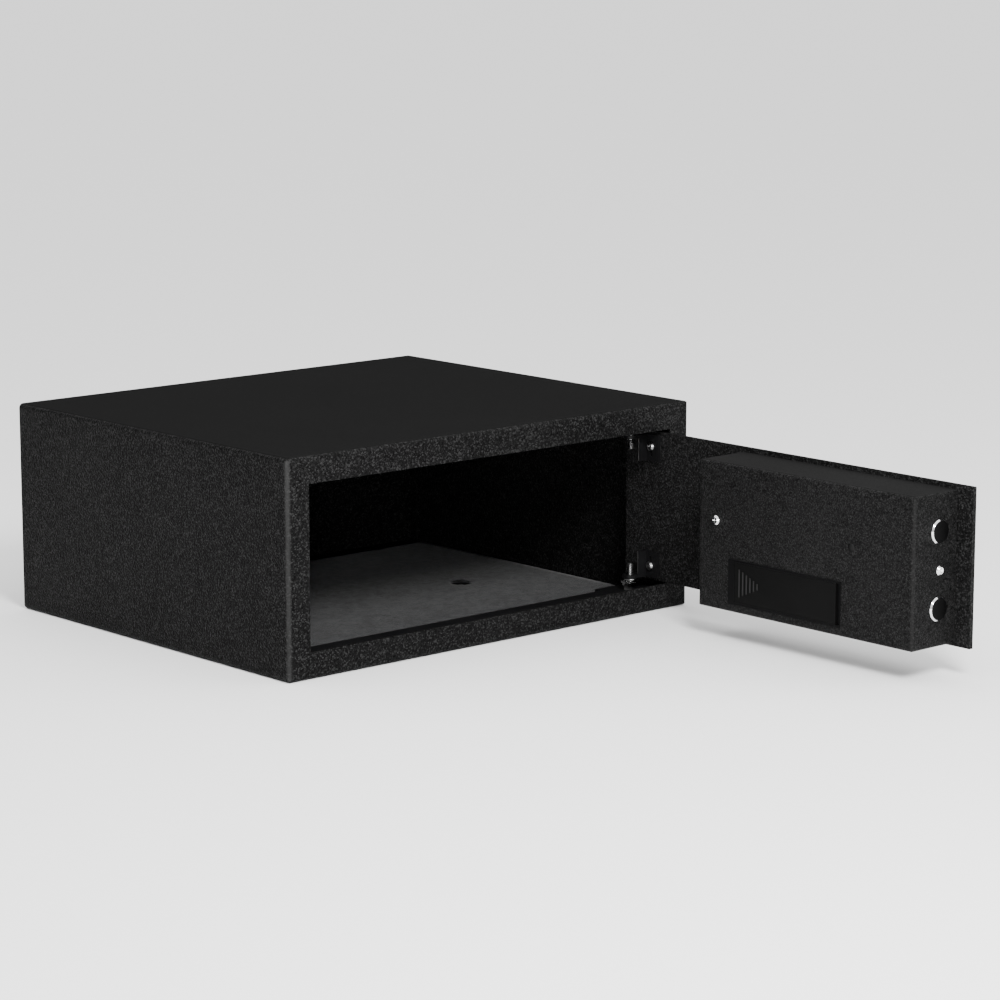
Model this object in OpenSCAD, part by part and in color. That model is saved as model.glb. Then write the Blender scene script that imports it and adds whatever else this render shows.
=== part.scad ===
// In-room safe: a low steel cabinet with a hinged door that carries a motorised bolt lock.
// Origin: centre of the cabinet's underside, midway between the two floor anchor holes.
// The door stands open at a right angle, with its bolts drawn back.

/* [Cabinet] */
// Outside width
body_w = 440; // [400:10:480]
// Outside depth
body_d = 370; // [320:10:420]
// Outside height
body_h = 180; // [180:5:220]
// Width of the border around the door opening
border = 22; // [20:1:24]
// Radius of the folded outer edges
edge_r = 4; // [3:0.5:5]

/* [Door] */
// Gap between the door plate and the opening
door_gap = 2.5; // [2:0.5:3]
// Thickness of the door plate
plate_t = 4; // [3:0.5:4]
// Distance from the hinge axis to the back of the door plate
hinge_setback = 17.5;

/* [Lock] */
// Length of the lock cover
cover_l = 236;
// Height of the lock cover
cover_h = 124;
// Depth of the lock cover
cover_d = 50;
// Diameter of the locking bolts
bolt_d = 20;
// How far the bolts move out
bolt_throw = 28;

/* [Keypad] */
// Width of the keypad housing
pad_w = 190;
// Height of the keypad housing
pad_h = 96;
// Travel of a key
key_travel = 1;

/* [Hidden] */
$fn = 64;
eps = 0.01;
slop = 0.08;          // radial clearance of a running fit
sheet = 2;            // cabinet sheet
thin = 1.5;           // flange and cover sheet
anchor_r = 5;
anchor_x = 120;       // anchor holes stand this far either side of the middle

// Cabinet
front_y = -body_d / 2;
back_y = body_d / 2;
frame_y = front_y + edge_r;  // seam between the front frame and the shell
open_x = body_w / 2 - border;
open_z0 = border + 0.5;
open_z1 = body_h - open_z0;
ledge_d = 14;         // depth of the return ledge behind the opening
strike_d = 40;        // depth of the flange that receives the bolts
tab_x0 = open_x - 48; // the ledges stop here and the hinge tabs begin
tab_d = 40;
tab_t = 3;
tab_z = 17;           // top of the lower hinge tab
mat_t = 3;
mat_gap = 1.5;
mat_hole_r = 9;

// Hinge, in the cabinet
hinge_x = open_x - 4.5 - plate_t - hinge_setback;
hinge_y = front_y + plate_t + hinge_setback;
pin_r = 3;
nut_h = 9;            // height of the lower nut, which the door stands on
upper_nut_h = 8;
washer_t = 1.2;
lug_t = 3;
lug_r = 6.5;
lug_z = tab_z + nut_h + washer_t + 0.1;  // underside of the lower lug
pin_top = 40;
rest_angle = 90;

// Door, measured from the hinge axis with the door shut
plate_x1 = open_x - door_gap - hinge_x;
plate_x0 = -open_x + door_gap - hinge_x;
plate_y0 = -hinge_setback - plate_t;
plate_y1 = -hinge_setback;
plate_z0 = open_z0 + door_gap;
plate_z1 = open_z1 - door_gap;
mid_z = body_h / 2 - 1;

// Hinge brackets
leg_x0 = -18.5;       // leg against the plate
web_x = -5.4;         // web that stands off the plate, beside the pin
leg_h = 23;
leg_t = 3;
screw_x = -10;
screw_z = 37.5;

// Lock cover and bolts
cover_x0 = plate_x0 + 16;
cover_x1 = cover_x0 + cover_l;
cover_y1 = plate_y1 + cover_d;
cover_z0 = mid_z - cover_h / 2;
cover_z1 = mid_z + cover_h / 2;
cover_r = 3;
bolt_r = bolt_d / 2;
bolt_y = plate_y1 + 20;
bolt_z = [mid_z - 31, mid_z + 31];
bolt_proud = 1.4;
bolt_l = 60;
bolt_x0 = cover_x0 - bolt_proud;
bolt_x1 = bolt_x0 + bolt_l;

// Bolt carriage
carriage_gap = 0.2;
carriage_t = 2;
carriage_y0 = plate_y1 + carriage_gap;
carriage_y1 = carriage_y0 + carriage_t;
carriage_x1 = bolt_x1 + 74;
carriage_z0 = bolt_z[0] - 12;
carriage_z1 = bolt_z[1] + 12;
guide_pin_r = 4;
guide_pin_x = bolt_x1 + 30;
guide_pin_z = [bolt_z[0] + 3, bolt_z[1] - 3];

// Rack and pinion
gear_m = 1.5;
gear_teeth = 14;
pitch_r = gear_m * gear_teeth / 2;
tooth_pitch = PI * gear_m;
addendum = 1.1;
dedendum = 1.9;
pitch_z = mid_z - 5;
pinion_x = cover_x0 + 148;
pinion_z = pitch_z + pitch_r;
pinion_t = 3.5;
rack_teeth = 9;
shaft_r = 1.5;

// Motor
motor_w = 12;
motor_h = 10;
bridge_y = plate_y1 + 9;
gearbox_l = 9;
motor_l = 19;

// Battery bay
bay_x1 = cover_x1 - 35;
bay_l = 125;
bay_h = 38;
bay_x0 = bay_x1 - bay_l;
bay_z0 = cover_z0 + 7;
bay_lip = 2;
bay_proud = 0.5;
bay_depth = 18.5;
tray_wall = 1.5;
cell_r = 7.1;
cell_l = 49.2;
cell_nub = 1.3;
contact_t = 0.5;
lid_travel = 4;

// Circuit board and reset button
board_x0 = cover_x0 + 12;
board_l = 120;
board_h = 70;
board_z0 = cover_z1 - board_h - 5;
board_y = plate_y1 + 35.5;
board_t = 1.6;
reset_x = cover_x1 - 170;
reset_z = mid_z + 12;
reset_r = 3;

// Cover screws
face_screw_x = cover_x1 - 20.5;
face_screw_z = mid_z + 13;

// Keypad, on the outside of the plate
pad_x = cover_x0 + cover_l / 2;
pad_t = 9;
pad_wall = 2.5;
pad_r = 8;
pad_y0 = plate_y0 - pad_t;
key_w = 15;
key_h = 12;
key_pitch_x = 20;
key_pitch_z = 19;
key_x = pad_x + 20;
key_flange = 1;
display_x = pad_x - 52;
display_z = mid_z + 23;
display_w = 66;
display_h = 24;
override_x = pad_x + 76;
override_z = mid_z + 33;
override_r = 8;

KEYS = ["key_1", "key_2", "key_3", "key_4", "key_5", "key_6",
        "key_7", "key_8", "key_9", "key_star", "key_0", "key_hash"];

// ---------- shared shapes ----------

// Rectangle from [x0, y0] to [x1, y1] with all four corners rounded
module round_rect(x0, y0, x1, y1, r) {
    translate([x0 + r, y0]) square([x1 - x0 - 2 * r, y1 - y0]);
    translate([x0, y0 + r]) square([x1 - x0, y1 - y0 - 2 * r]);
    for (x = [x0 + r, x1 - r], y = [y0 + r, y1 - r]) translate([x, y]) circle(r);
}

// The same with only the two corners at y0 rounded
module round_front(x0, y0, x1, y1, r) {
    translate([x0 + r, y0]) square([x1 - x0 - 2 * r, y1 - y0]);
    translate([x0, y0 + r]) square([x1 - x0, y1 - y0 - r]);
    for (x = [x0 + r, x1 - r]) translate([x, y0 + r]) circle(r);
}

// Box with square corners, from one corner point to the other
module block(a, b) {
    translate(a) cube(b - a);
}

// Extrudes a drawing of the XZ plane from y0 to y1
module along_y(y0, y1) {
    translate([0, y1, 0]) rotate([90, 0, 0]) linear_extrude(y1 - y0) children();
}

// Extrudes a drawing of the YZ plane from x0 to x1
module along_x(x0, x1) {
    translate([x0, 0, 0]) rotate([90, 0, 90]) linear_extrude(x1 - x0) children();
}

// Box whose edges are folded round at y0 and along y, square at y1
module folded_box(a, b, r) {
    intersection() {
        along_y(a.y, b.y) round_rect(a.x, a.z, b.x, b.z, r);
        translate([0, 0, a.z]) linear_extrude(b.z - a.z) round_front(a.x, a.y, b.x, b.y + r, r);
        along_x(a.x, b.x) rotate(90) mirror([0, 1]) round_front(a.z, a.y, b.z, b.y + r, r);
    }
}

// Cylinder along y from y0 to y1
module rod_y(x, z, y0, y1, r) {
    translate([x, y0, z]) rotate([-90, 0, 0]) cylinder(r = r, h = y1 - y0);
}

// Cylinder along x from x0 to x1
module rod_x(y, z, x0, x1, r) {
    translate([x0, y, z]) rotate([0, 90, 0]) cylinder(r = r, h = x1 - x0);
}

// Cylinder along z from z0 to z1
module rod_z(x, y, z0, z1, r) {
    translate([x, y, z0]) cylinder(r = r, h = z1 - z0);
}

// Pan-head screw standing on z = 0, shank down, with a cross recess
module pan_screw(head_r, head_h, shank_r, shank_l) {
    difference() {
        union() {
            cylinder(r = head_r, h = head_h * 0.45);
            translate([0, 0, head_h * 0.45])
                cylinder(r1 = head_r, r2 = head_r * 0.68, h = head_h * 0.55);
            translate([0, 0, -shank_l]) cylinder(r = shank_r, h = shank_l + eps);
        }
        for (turn = [0, 90]) rotate(turn)
            translate([-head_r * 0.5, -head_r * 0.09, head_h * 0.45])
                cube([head_r, head_r * 0.18, head_h]);
    }
}

// Places the door's parts: they are drawn with the door shut, from the hinge axis
module on_door() {
    translate([hinge_x, hinge_y, 0]) rotate(rest_angle) children();
}

// Mirrors a part of the lower half of the cabinet to the upper half
module in_upper_half() {
    translate([0, 0, body_h]) mirror([0, 0, 1]) children();
}

// ---------- cabinet ----------

// Sheet folded round the floor, the sides and the top
module body_shell() {
    inner_x = body_w / 2 - sheet;
    color([0.12, 0.12, 0.13]) difference() {
        along_y(frame_y, back_y) round_rect(-body_w / 2, 0, body_w / 2, body_h, edge_r);
        along_y(frame_y - 1, back_y + 1)
            round_rect(-inner_x, sheet, inner_x, body_h - sheet, edge_r - sheet);
        for (x = [-anchor_x, anchor_x]) rod_z(x, 0, -1, sheet + 1, anchor_r);
    }
}

// Border round the opening, its outer edges folded back to meet the shell
module front_frame() {
    inner_x = body_w / 2 - sheet;
    color([0.12, 0.12, 0.13]) difference() {
        folded_box([-body_w / 2, front_y, 0], [body_w / 2, frame_y, body_h], edge_r);
        folded_box([-inner_x, front_y + sheet, sheet],
                   [inner_x, frame_y + 1, body_h - sheet], edge_r - sheet);
        block([-open_x, front_y - 1, open_z0], [open_x, front_y + sheet + 1, open_z1]);
    }
}

// Back panel, with its edges folded forward inside the shell
module back_panel() {
    flange = 12;
    x = body_w / 2 - sheet;
    r = edge_r - sheet;
    color([0.12, 0.12, 0.13]) difference() {
        along_y(back_y - flange, back_y) round_rect(-x, sheet, x, body_h - sheet, r);
        block([sheet - x, back_y - flange - 1, 2 * sheet], [x - sheet, back_y - sheet, body_h - 2 * sheet]);
        for (side = [-anchor_x, anchor_x])
            rod_y(side, body_h / 2, back_y - sheet - 1, back_y + 1, anchor_r);
    }
}

// Ledge behind the lower edge of the opening, with its rear edge folded down
module lower_flange() {
    fold = 9;
    y0 = front_y + sheet;
    color([0.10, 0.10, 0.11]) {
        block([-open_x, y0, open_z0 - thin], [tab_x0, y0 + ledge_d, open_z0]);
        block([-open_x, y0 + ledge_d - thin, open_z0 - fold], [tab_x0, y0 + ledge_d, open_z0 - thin]);
    }
}

module upper_flange() {
    in_upper_half() lower_flange();
}

// Side flange with the two holes that receive the bolts
module strike_flange() {
    y0 = front_y + sheet;
    color([0.10, 0.10, 0.11]) difference() {
        union() {
            block([-open_x - sheet, y0, open_z0], [-open_x, y0 + strike_d, open_z1]);
            block([-body_w / 2 + sheet, y0 + strike_d - sheet, open_z0],
                  [-open_x - sheet, y0 + strike_d, open_z1]);
        }
        for (z = bolt_z)
            rod_x(hinge_y + bolt_y, z, -open_x - sheet - 1, -open_x + 1, bolt_r + 1.5);
    }
}

// Tab that carries a hinge pin, on a leg that stands on the cabinet's floor
module lower_hinge_tab() {
    y0 = front_y + sheet;
    color([0.10, 0.10, 0.11]) difference() {
        union() {
            block([tab_x0, y0, tab_z - tab_t], [open_x, y0 + tab_d, tab_z]);
            block([tab_x0, y0 + tab_d - tab_t, sheet], [open_x, y0 + tab_d, tab_z - tab_t]);
        }
        rod_z(hinge_x, hinge_y, tab_z - tab_t - 1, tab_z + 1, pin_r);
    }
}

module upper_hinge_tab() {
    in_upper_half() lower_hinge_tab();
}

// Hinge pin: a stud through the tab and its nut, threaded and tapered above the lug
module lower_pin() {
    turns = 8;
    groove = 0.4;
    taper = 1;
    z0 = tab_z - 9;
    thread_z = lug_z + lug_t + 0.7;
    rise = (pin_top - taper - thread_z) / turns;
    color("silver") translate([hinge_x, hinge_y, 0]) rotate_extrude() polygon(concat(
        [[0, z0], [pin_r, z0]],
        [for (i = [0 : turns - 1]) each [[pin_r, thread_z + i * rise],
                                         [pin_r - groove, thread_z + (i + 0.5) * rise]]],
        [[pin_r, pin_top - taper], [pin_r - taper, pin_top], [0, pin_top]]));
}

module upper_pin() {
    in_upper_half() lower_pin();
}

// One hexagon nut with a round flange at its top
module flange_nut(h) {
    flange_r = 7.7;
    flange_h = 1.8;
    crown_h = 0.8;
    hex_r = 6.6;
    difference() {
        union() {
            cylinder(r = hex_r, h = h - flange_h, $fn = 6);
            translate([0, 0, h - flange_h - crown_h]) cylinder(r = flange_r, h = flange_h);
            translate([0, 0, h - crown_h]) cylinder(r1 = flange_r - 1.5, r2 = pin_r + 1, h = crown_h);
        }
        translate([0, 0, -1]) cylinder(r = pin_r, h = h + 2);
    }
}

module pin_nuts() {
    color("silver") {
        translate([hinge_x, hinge_y, tab_z]) flange_nut(nut_h);
        in_upper_half() translate([hinge_x, hinge_y, tab_z]) flange_nut(upper_nut_h);
    }
}

// Washer on the lower nut; the door's lug turns on it
module bearing_washer() {
    washer_r = 5;
    color("silver") translate([hinge_x, hinge_y, tab_z + nut_h]) difference() {
        cylinder(r = washer_r, h = washer_t);
        translate([0, 0, -1]) cylinder(r = pin_r, h = washer_t + 2);
    }
}

// Felt mat on the floor, cut clear of the anchor holes and the hinge tab
module floor_mat() {
    x = body_w / 2 - sheet - mat_gap;
    y0 = front_y + sheet + mat_gap;
    y1 = back_y - 12 - mat_gap;
    color([0.35, 0.35, 0.36]) difference() {
        block([-x, y0, sheet + 0.1], [x, y1, sheet + mat_t]);
        block([tab_x0 - mat_gap, y0 - 1, 0], [x + 1, y0 + tab_d, 2 * sheet + mat_t]);
        for (side = [-anchor_x, anchor_x]) rod_z(side, 0, 0, 2 * sheet + mat_t, mat_hole_r);
    }
}

// ---------- door ----------

module door_plate() {
    color([0.11, 0.11, 0.12]) on_door() difference() {
        block([plate_x0, plate_y0, plate_z0], [plate_x1, plate_y1, plate_z1]);
        rod_y(override_x, override_z, plate_y0 - 1, plate_y1 + 1, override_r);
        rod_y(pad_x + 30, mid_z - 40, plate_y0 - 1, plate_y1 + 1, 4);
        for (z = [screw_z, body_h - screw_z])
            rod_y(screw_x, z, plate_y1 - 3, plate_y1 + 1, 2);
    }
}

// Angle bracket: a leg screwed to the plate, a web, and a round-ended lug with the pin's hole
module lower_bracket() {
    leg_z1 = lug_z + leg_h;
    inner_x = web_x + leg_t;
    slot_ends = [screw_z + 5.5, screw_z + 7.5];
    color([0.09, 0.09, 0.10]) on_door() difference() {
        union() {
            block([leg_x0, plate_y1, lug_z], [inner_x, plate_y1 + leg_t, leg_z1]);
            block([web_x, plate_y1 + leg_t, lug_z], [inner_x, 0, leg_z1]);
            translate([0, 0, lug_z]) linear_extrude(lug_t) {
                circle(lug_r);
                translate([inner_x, -lug_r - 4]) square([lug_r - inner_x, lug_r + 4]);
            }
        }
        rod_z(0, 0, lug_z + lug_t, leg_z1 + 1, lug_r + 0.5);
        rod_z(0, 0, lug_z - 1, lug_z + lug_t + 1, pin_r + slop);
        rod_y(screw_x, screw_z, plate_y1 - 1, plate_y1 + leg_t + 1, 2);
        for (z = slot_ends) rod_y(screw_x, z, plate_y1 - 1, plate_y1 + leg_t + 1, 1.4);
        block([screw_x - 1.4, plate_y1 - 1, slot_ends[0]],
              [screw_x + 1.4, plate_y1 + leg_t + 1, slot_ends[1]]);
    }
}

module upper_bracket() {
    in_upper_half() lower_bracket();
}

module bracket_screws() {
    color("silver") on_door()
        for (z = [screw_z, body_h - screw_z])
            translate([screw_x, plate_y1 + leg_t, z]) rotate([-90, 0, 0]) pan_screw(4, 2.4, 2, 5.5);
}

// ---------- lock cover and its fixings ----------

// The cover's outer shape: its round edges face away from the plate
module cover_form(inset, depth, r) {
    mirror([0, 1, 0])
        folded_box([cover_x0 + inset, -cover_y1 + inset, cover_z0 + inset],
                   [cover_x1 - inset, -plate_y1 + depth, cover_z1 - inset], r);
}

module lock_cover() {
    color([0.13, 0.13, 0.14]) on_door() difference() {
        cover_form(0, 0, cover_r);
        cover_form(thin, 1, cover_r - thin);
        for (z = bolt_z) rod_x(bolt_y, z, cover_x0 - 1, cover_x0 + 3, bolt_r + slop);
        block([bay_x0, cover_y1 - 3, bay_z0], [bay_x1, cover_y1 + 1, bay_z0 + bay_h]);
        rod_y(reset_x, reset_z, cover_y1 - 3, cover_y1 + 1, reset_r + 0.8);
        rod_y(face_screw_x, face_screw_z, cover_y1 - 3, cover_y1 + 1, 2);
        rod_x(bolt_y, mid_z, cover_x0 - 1, cover_x0 + 3, 2);
    }
}

// Bracket inside the cover's end: a wall that guides both bolts, and a tab for the end screw
module bolt_guide() {
    x0 = cover_x0 + thin;
    wall_x = x0 + 15;
    z0 = bolt_z[0] - 12;
    z1 = bolt_z[1] + 12;
    color([0.55, 0.56, 0.58]) on_door() difference() {
        union() {
            block([x0, plate_y1, z0], [wall_x + sheet, plate_y1 + sheet, z1]);
            block([wall_x, plate_y1 + sheet, z0], [wall_x + sheet, bolt_y + 12, z1]);
            block([x0, plate_y1 + sheet, mid_z - 9], [x0 + sheet, bolt_y + 10, mid_z + 9]);
        }
        for (z = bolt_z) rod_x(bolt_y, z, wall_x - 1, wall_x + sheet + 1, bolt_r + slop);
        rod_x(bolt_y, mid_z, x0 - 1, x0 + sheet + 1, 2);
    }
}

// Threaded post welded to the plate, for the screw in the cover's face
module cover_post() {
    color([0.55, 0.56, 0.58]) on_door() difference() {
        rod_y(face_screw_x, face_screw_z, plate_y1, cover_y1 - thin, 4.5);
        rod_y(face_screw_x, face_screw_z, cover_y1 - thin - 12, cover_y1, 2);
    }
}

module cover_screws() {
    color("silver") on_door() {
        translate([face_screw_x, cover_y1, face_screw_z]) rotate([-90, 0, 0]) pan_screw(4, 2.4, 2, 10);
        translate([cover_x0, bolt_y, mid_z]) rotate([0, -90, 0]) pan_screw(4, 2.4, 2, 7);
    }
}

// Headed pins on the plate; the carriage's slots run along them
module guide_pins() {
    head_y = carriage_y1 + 0.2;
    color("silver") on_door() for (z = guide_pin_z) {
        rod_y(guide_pin_x, z, plate_y1, head_y, guide_pin_r);
        rod_y(guide_pin_x, z, head_y, head_y + 2, guide_pin_r + 2.5);
    }
}

// ---------- bolts and carriage ----------

// Gear tooth standing on the pitch line, with its root sunk into the blank
module tooth_2d(root_w, tip_w, sunk = 0.5) {
    polygon([[-root_w / 2, -dedendum - sunk], [-root_w / 2, -dedendum], [-tip_w / 2, addendum],
             [tip_w / 2, addendum], [root_w / 2, -dedendum], [root_w / 2, -dedendum - sunk]]);
}

// Folded plate that joins the bolts, with a guide slot for each pin and a toothed tongue
module carriage() {
    tongue_h = 8;
    root_z = pitch_z - dedendum;
    first_tooth = pinion_x - 1.5 * tooth_pitch;
    tongue_x1 = first_tooth + rack_teeth * tooth_pitch;
    slot_r = guide_pin_r + slop;
    color([0.62, 0.63, 0.65]) on_door() difference() {
        union() {
            block([bolt_x1, carriage_y0, carriage_z0], [carriage_x1, carriage_y1, carriage_z1]);
            block([bolt_x1, carriage_y1, carriage_z0], [bolt_x1 + carriage_t, bolt_y + 10, carriage_z1]);
            block([carriage_x1, carriage_y0, root_z - tongue_h], [tongue_x1, carriage_y1, root_z]);
            along_y(carriage_y0, carriage_y1) for (i = [0 : rack_teeth - 1])
                translate([first_tooth + i * tooth_pitch, pitch_z]) tooth_2d(3, 1.3);
        }
        for (z = guide_pin_z) {
            rod_y(guide_pin_x, z, carriage_y0 - 1, carriage_y1 + 1, slot_r);
            rod_y(guide_pin_x + bolt_throw, z, carriage_y0 - 1, carriage_y1 + 1, slot_r);
            block([guide_pin_x, carriage_y0 - 1, z - slot_r],
                  [guide_pin_x + bolt_throw, carriage_y1 + 1, z + slot_r]);
        }
        for (z = bolt_z) rod_x(bolt_y, z, bolt_x1 - 1, bolt_x1 + carriage_t + 1, 2.5);
    }
}

// Round bolt with a turned front edge and a threaded hole in its rear end
module locking_bolt(z) {
    chamfer = 1.1;
    color("silver") on_door() difference() {
        union() {
            rod_x(bolt_y, z, bolt_x0 + chamfer, bolt_x1, bolt_r);
            translate([bolt_x0, bolt_y, z]) rotate([0, 90, 0])
                cylinder(r1 = bolt_r - chamfer, r2 = bolt_r, h = chamfer);
        }
        rod_x(bolt_y, z, bolt_x1 - 12, bolt_x1 + 1, 2.5);
    }
}

module upper_bolt() {
    locking_bolt(bolt_z[1]);
}

module lower_bolt() {
    locking_bolt(bolt_z[0]);
}

module bolt_screws() {
    color("silver") on_door() for (z = bolt_z)
        translate([bolt_x1 + carriage_t, bolt_y, z]) rotate([0, 90, 0]) pan_screw(4.5, 2.8, 2.5, 12);
}

// ---------- drive ----------

// Spur gear in mesh with the carriage's rack, pressed on the gearbox shaft
module pinion() {
    y0 = carriage_y0 + 0.3;
    root_r = pitch_r - dedendum;
    color([0.75, 0.68, 0.45]) on_door() difference() {
        union() {
            along_y(y0, y0 + pinion_t) translate([pinion_x, pinion_z]) {
                circle(root_r);
                for (i = [0 : gear_teeth - 1])
                    rotate(i * 360 / gear_teeth) translate([0, pitch_r])
                        tooth_2d(3.1, 1.1);
            }
            rod_y(pinion_x, pinion_z, y0 + pinion_t, y0 + pinion_t + 2, 3.5);
        }
        rod_y(pinion_x, pinion_z, y0 - 1, bridge_y, shaft_r);
    }
}

module pinion_shaft() {
    color("silver") on_door()
        rod_y(pinion_x, pinion_z, carriage_y0 + 0.3, bridge_y + thin + 5, shaft_r);
}

// Gearbox, motor can and end cap
module motor() {
    y0 = bridge_y + thin;
    y1 = y0 + gearbox_l;
    color([0.70, 0.71, 0.72]) on_door() difference() {
        union() {
            block([pinion_x - motor_w / 2, y0, pinion_z - motor_h / 2],
                  [pinion_x + motor_w / 2, y1, pinion_z + motor_h / 2]);
            intersection() {
                rod_y(pinion_x, pinion_z, y1, y1 + motor_l, motor_w / 2);
                block([pinion_x - motor_w, y1, pinion_z - motor_h / 2],
                      [pinion_x + motor_w, y1 + motor_l, pinion_z + motor_h / 2]);
            }
        }
        rod_y(pinion_x, pinion_z, y0 - 1, y0 + 6, shaft_r + slop);
        for (side = [-4.5, 4.5]) rod_y(pinion_x + side, pinion_z, y0 - 1, y0 + 4, 0.8);
    }
}

// Bridge over the rack that holds the motor; its feet stand on the plate
module motor_bracket() {
    half_x = 12;
    z0 = pitch_z - 16;
    z1 = pinion_z + 15;
    foot = 8;
    y0 = plate_y1;
    color([0.55, 0.56, 0.58]) on_door() difference() {
        union() {
            block([pinion_x - half_x, bridge_y, z0], [pinion_x + half_x, bridge_y + thin, z1]);
            for (z = [z0, z1 - thin])
                block([pinion_x - half_x, y0 + thin, z], [pinion_x + half_x, bridge_y, z + thin]);
            block([pinion_x - half_x, y0, z0 - foot], [pinion_x + half_x, y0 + thin, z0 + thin]);
            block([pinion_x - half_x, y0, z1 - thin], [pinion_x + half_x, y0 + thin, z1 + foot]);
        }
        rod_y(pinion_x, pinion_z, bridge_y - 1, bridge_y + thin + 1, shaft_r + 0.5);
        for (side = [-4.5, 4.5])
            rod_y(pinion_x + side, pinion_z, bridge_y - 1, bridge_y + thin + 1, 0.8);
    }
}

module motor_screws() {
    color("silver") on_door() for (side = [-4.5, 4.5])
        translate([pinion_x + side, bridge_y, pinion_z]) rotate([90, 0, 0]) pan_screw(1.5, 0.9, 0.8, 5);
}

// ---------- battery bay ----------

// Moulded tray set in the cover from behind, with a pocket and grooves for the lid
module battery_tray() {
    fit = 0.15;
    back_lip = 3;
    behind_y = cover_y1 - thin;
    floor_y = cover_y1 - bay_depth;
    x0 = bay_x0 + fit;
    x1 = bay_x1 - fit;
    z0 = bay_z0 + fit;
    z1 = bay_z0 + bay_h - fit;
    cell_z0 = bay_z0 + bay_lip + fit;
    cell_z1 = bay_z0 + bay_h - bay_lip - fit;
    color([0.08, 0.08, 0.09]) on_door() difference() {
        union() {
            block([x0, floor_y, z0], [x1, cover_y1 + bay_proud, z1]);
            block([bay_x0 - back_lip, behind_y - tray_wall, bay_z0 - back_lip],
                  [bay_x1 + back_lip, behind_y, bay_z0 + bay_h + back_lip]);
        }
        block([cavity_x0(), floor_y + tray_wall, cell_z0 + tray_wall],
              [cavity_x1(), cover_y1 + 1, cell_z1 - tray_wall]);
        block([x0 + 0.6, lid_y0() - 0.1, lid_z0() - 0.2], [lid_x1() + 0.2, cover_y1 + 1, lid_z1() + 0.2]);
        block([x0 + 0.6, lid_y0() + 0.25, lid_z0() - 1], [lid_x1() + 0.2, lid_y0() + 1.15, lid_z1() + 1]);
    }
}

function lid_x0() = bay_x0 + lid_travel + 0.9;
function lid_x1() = bay_x1 - 7.7;
function lid_z0() = bay_z0 + bay_lip;
function lid_z1() = bay_z0 + bay_h - bay_lip;
function lid_y0() = cover_y1 - 1.5;
function lid_y1() = cover_y1 + bay_proud;
function cavity_x0() = lid_x0() + tray_wall;
function cavity_x1() = lid_x1() - tray_wall;

// Sliding lid, with side tongues and a triangle of grip ribs
module battery_lid() {
    rib_w = 1.4;
    rib_pitch = 4.1;
    rib_h = 0.7;
    tallest = 23;
    shortest = 5;
    ribs = 6;
    tongue = 0.8;
    middle_z = (lid_z0() + lid_z1()) / 2;
    color([0.07, 0.07, 0.08]) on_door() {
        block([lid_x0(), lid_y0(), lid_z0()], [lid_x1(), lid_y1(), lid_z1()]);
        for (z = [lid_z0() - tongue, lid_z1()])
            block([lid_x0(), lid_y0() + 0.35, z], [lid_x1(), lid_y0() + 1.05, z + tongue]);
        for (i = [0 : ribs - 1]) {
            x = lid_x1() - 5 - i * rib_pitch;
            half = (tallest - i * (tallest - shortest) / (ribs - 1)) / 2;
            block([x - rib_w, lid_y1(), middle_z - half], [x, lid_y1() + rib_h, middle_z + half]);
        }
    }
}

function cell_y() = cover_y1 - bay_depth + 1.6 + cell_r;
function cell_z(row) = bay_z0 + bay_h / 2 + (row - 0.5) * (2 * cell_r + 0.6);
function cell_x(col) = cavity_x1() - contact_t - (2 - col) * (cell_l + cell_nub);

// Four cells in two rows; each has its raised end
module batteries() {
    color([0.20, 0.30, 0.45]) on_door() for (row = [0, 1], col = [0, 1]) {
        rod_x(cell_y(), cell_z(row), cell_x(col), cell_x(col) + cell_l, cell_r);
        rod_x(cell_y(), cell_z(row), cell_x(col) + cell_l, cell_x(col) + cell_l + cell_nub, 2.7);
    }
}

// End plates; the one behind each row carries a stepped cone that presses on the first cell
module battery_contacts() {
    half = 5;
    rings = 3;
    spring_x = cavity_x0() + contact_t;
    pitch = (cell_x(0) - spring_x) / rings;
    color("silver") on_door() for (row = [0, 1]) {
        for (x = [cavity_x0(), cavity_x1() - contact_t])
            block([x, cell_y() - half, cell_z(row) - half],
                  [x + contact_t, cell_y() + half, cell_z(row) + half]);
        for (ring = [0 : rings - 1])
            rod_x(cell_y(), cell_z(row), spring_x + ring * pitch, spring_x + (ring + 1) * pitch, 4 - ring);
    }
}

// ---------- electronics inside the cover ----------

function standoff_xz() = [for (x = [board_x0 + 4, board_x0 + board_l - 4],
                               z = [board_z0 + 4, board_z0 + board_h - 4]) [x, z]];

module circuit_board() {
    color([0.05, 0.35, 0.15]) on_door() difference() {
        block([board_x0, board_y, board_z0], [board_x0 + board_l, board_y + board_t, board_z0 + board_h]);
        for (p = standoff_xz()) rod_y(p[0], p[1], board_y - 1, board_y + board_t + 1, 1.5);
    }
}

// Chips, connectors and a capacitor on the board, and the body of the reset switch
module board_parts() {
    y = board_y + board_t;
    color([0.10, 0.10, 0.10]) on_door() {
        block([board_x0 + 20, y, board_z0 + 40], [board_x0 + 32, y + 1.6, board_z0 + 52]);
        block([board_x0 + 86, y, board_z0 + 36], [board_x0 + 96, y + 1.6, board_z0 + 42]);
        block([board_x0 + 14, y, board_z0 + 8], [board_x0 + 30, y + 7, board_z0 + 14]);
        block([board_x0 + 78, y, board_z0 + 8], [board_x0 + 90, y + 7, board_z0 + 14]);
        rod_y(board_x0 + 104, board_z0 + 54, y, y + 9, 4);
        block([reset_x - 3, y, reset_z - 3], [reset_x + 3, y + 3.4, reset_z + 3]);
    }
}

module board_standoffs() {
    color([0.75, 0.68, 0.45]) on_door() for (p = standoff_xz()) difference() {
        rod_y(p[0], p[1], board_y + board_t, cover_y1 - thin, 3);
        rod_y(p[0], p[1], board_y, board_y + board_t + 6, 1.5);
    }
}

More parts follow.
